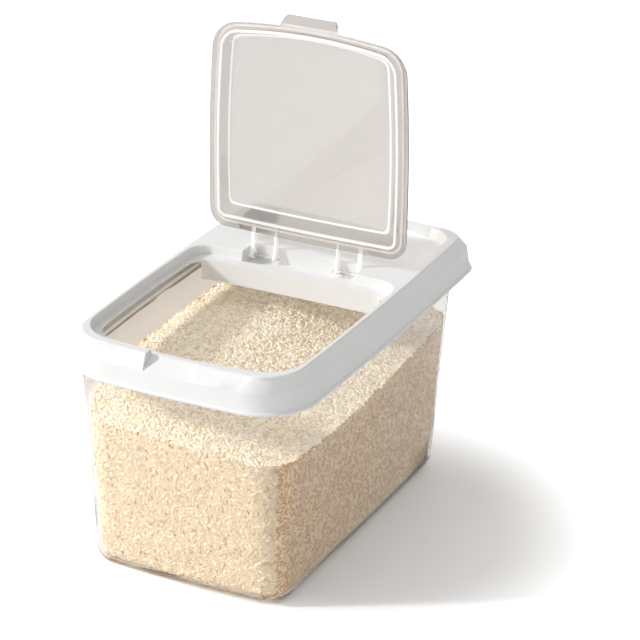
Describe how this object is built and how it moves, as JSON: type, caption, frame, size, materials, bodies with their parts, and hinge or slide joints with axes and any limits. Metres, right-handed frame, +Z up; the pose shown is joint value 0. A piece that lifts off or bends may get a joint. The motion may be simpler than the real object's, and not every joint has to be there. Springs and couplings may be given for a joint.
{
  "type": "rice storage bin",
  "caption": "Clear storage bin for rice with a white drop-on collar and a clear lid that flips up on two pins at the back of the mouth.",
  "frame": {"origin": "on the floor, under the middle of the collar's length and width", "axes": "+Z up, +Y from the finger notch at the front to the tray at the back, +X to the right seen from the front"},
  "size_m": [0.22, 0.3601, 0.4212],
  "materials": {
    "clear_tub": "clear moulded, smooth",
    "rice": "loose dry short grains",
    "white_collar": "white moulded, satin",
    "clear_pin": "clear moulded, smooth",
    "clear_lid": "clear moulded, smooth"
  },
  "bodies": {
    "bin": {"tub": "clear_tub", "rice_fill": "rice"},
    "frame": {"collar": "white_collar", "hinge_pin_left": "clear_pin", "hinge_pin_right": "clear_pin"},
    "lid": {"flip_lid": "clear_lid"}
  },
  "joints": [
    {"name": "collar_lift", "type": "slide", "parent": "bin", "child": "frame", "axis": [0, 0, 1], "range_m": [0, 0.03]},
    {"name": "lid_hinge", "type": "hinge", "parent": "frame", "child": "lid", "pos_m": [0, 0.0532, 0.2042], "axis": [1, 0, 0], "range_deg": [0, 91.5]}
  ]
}
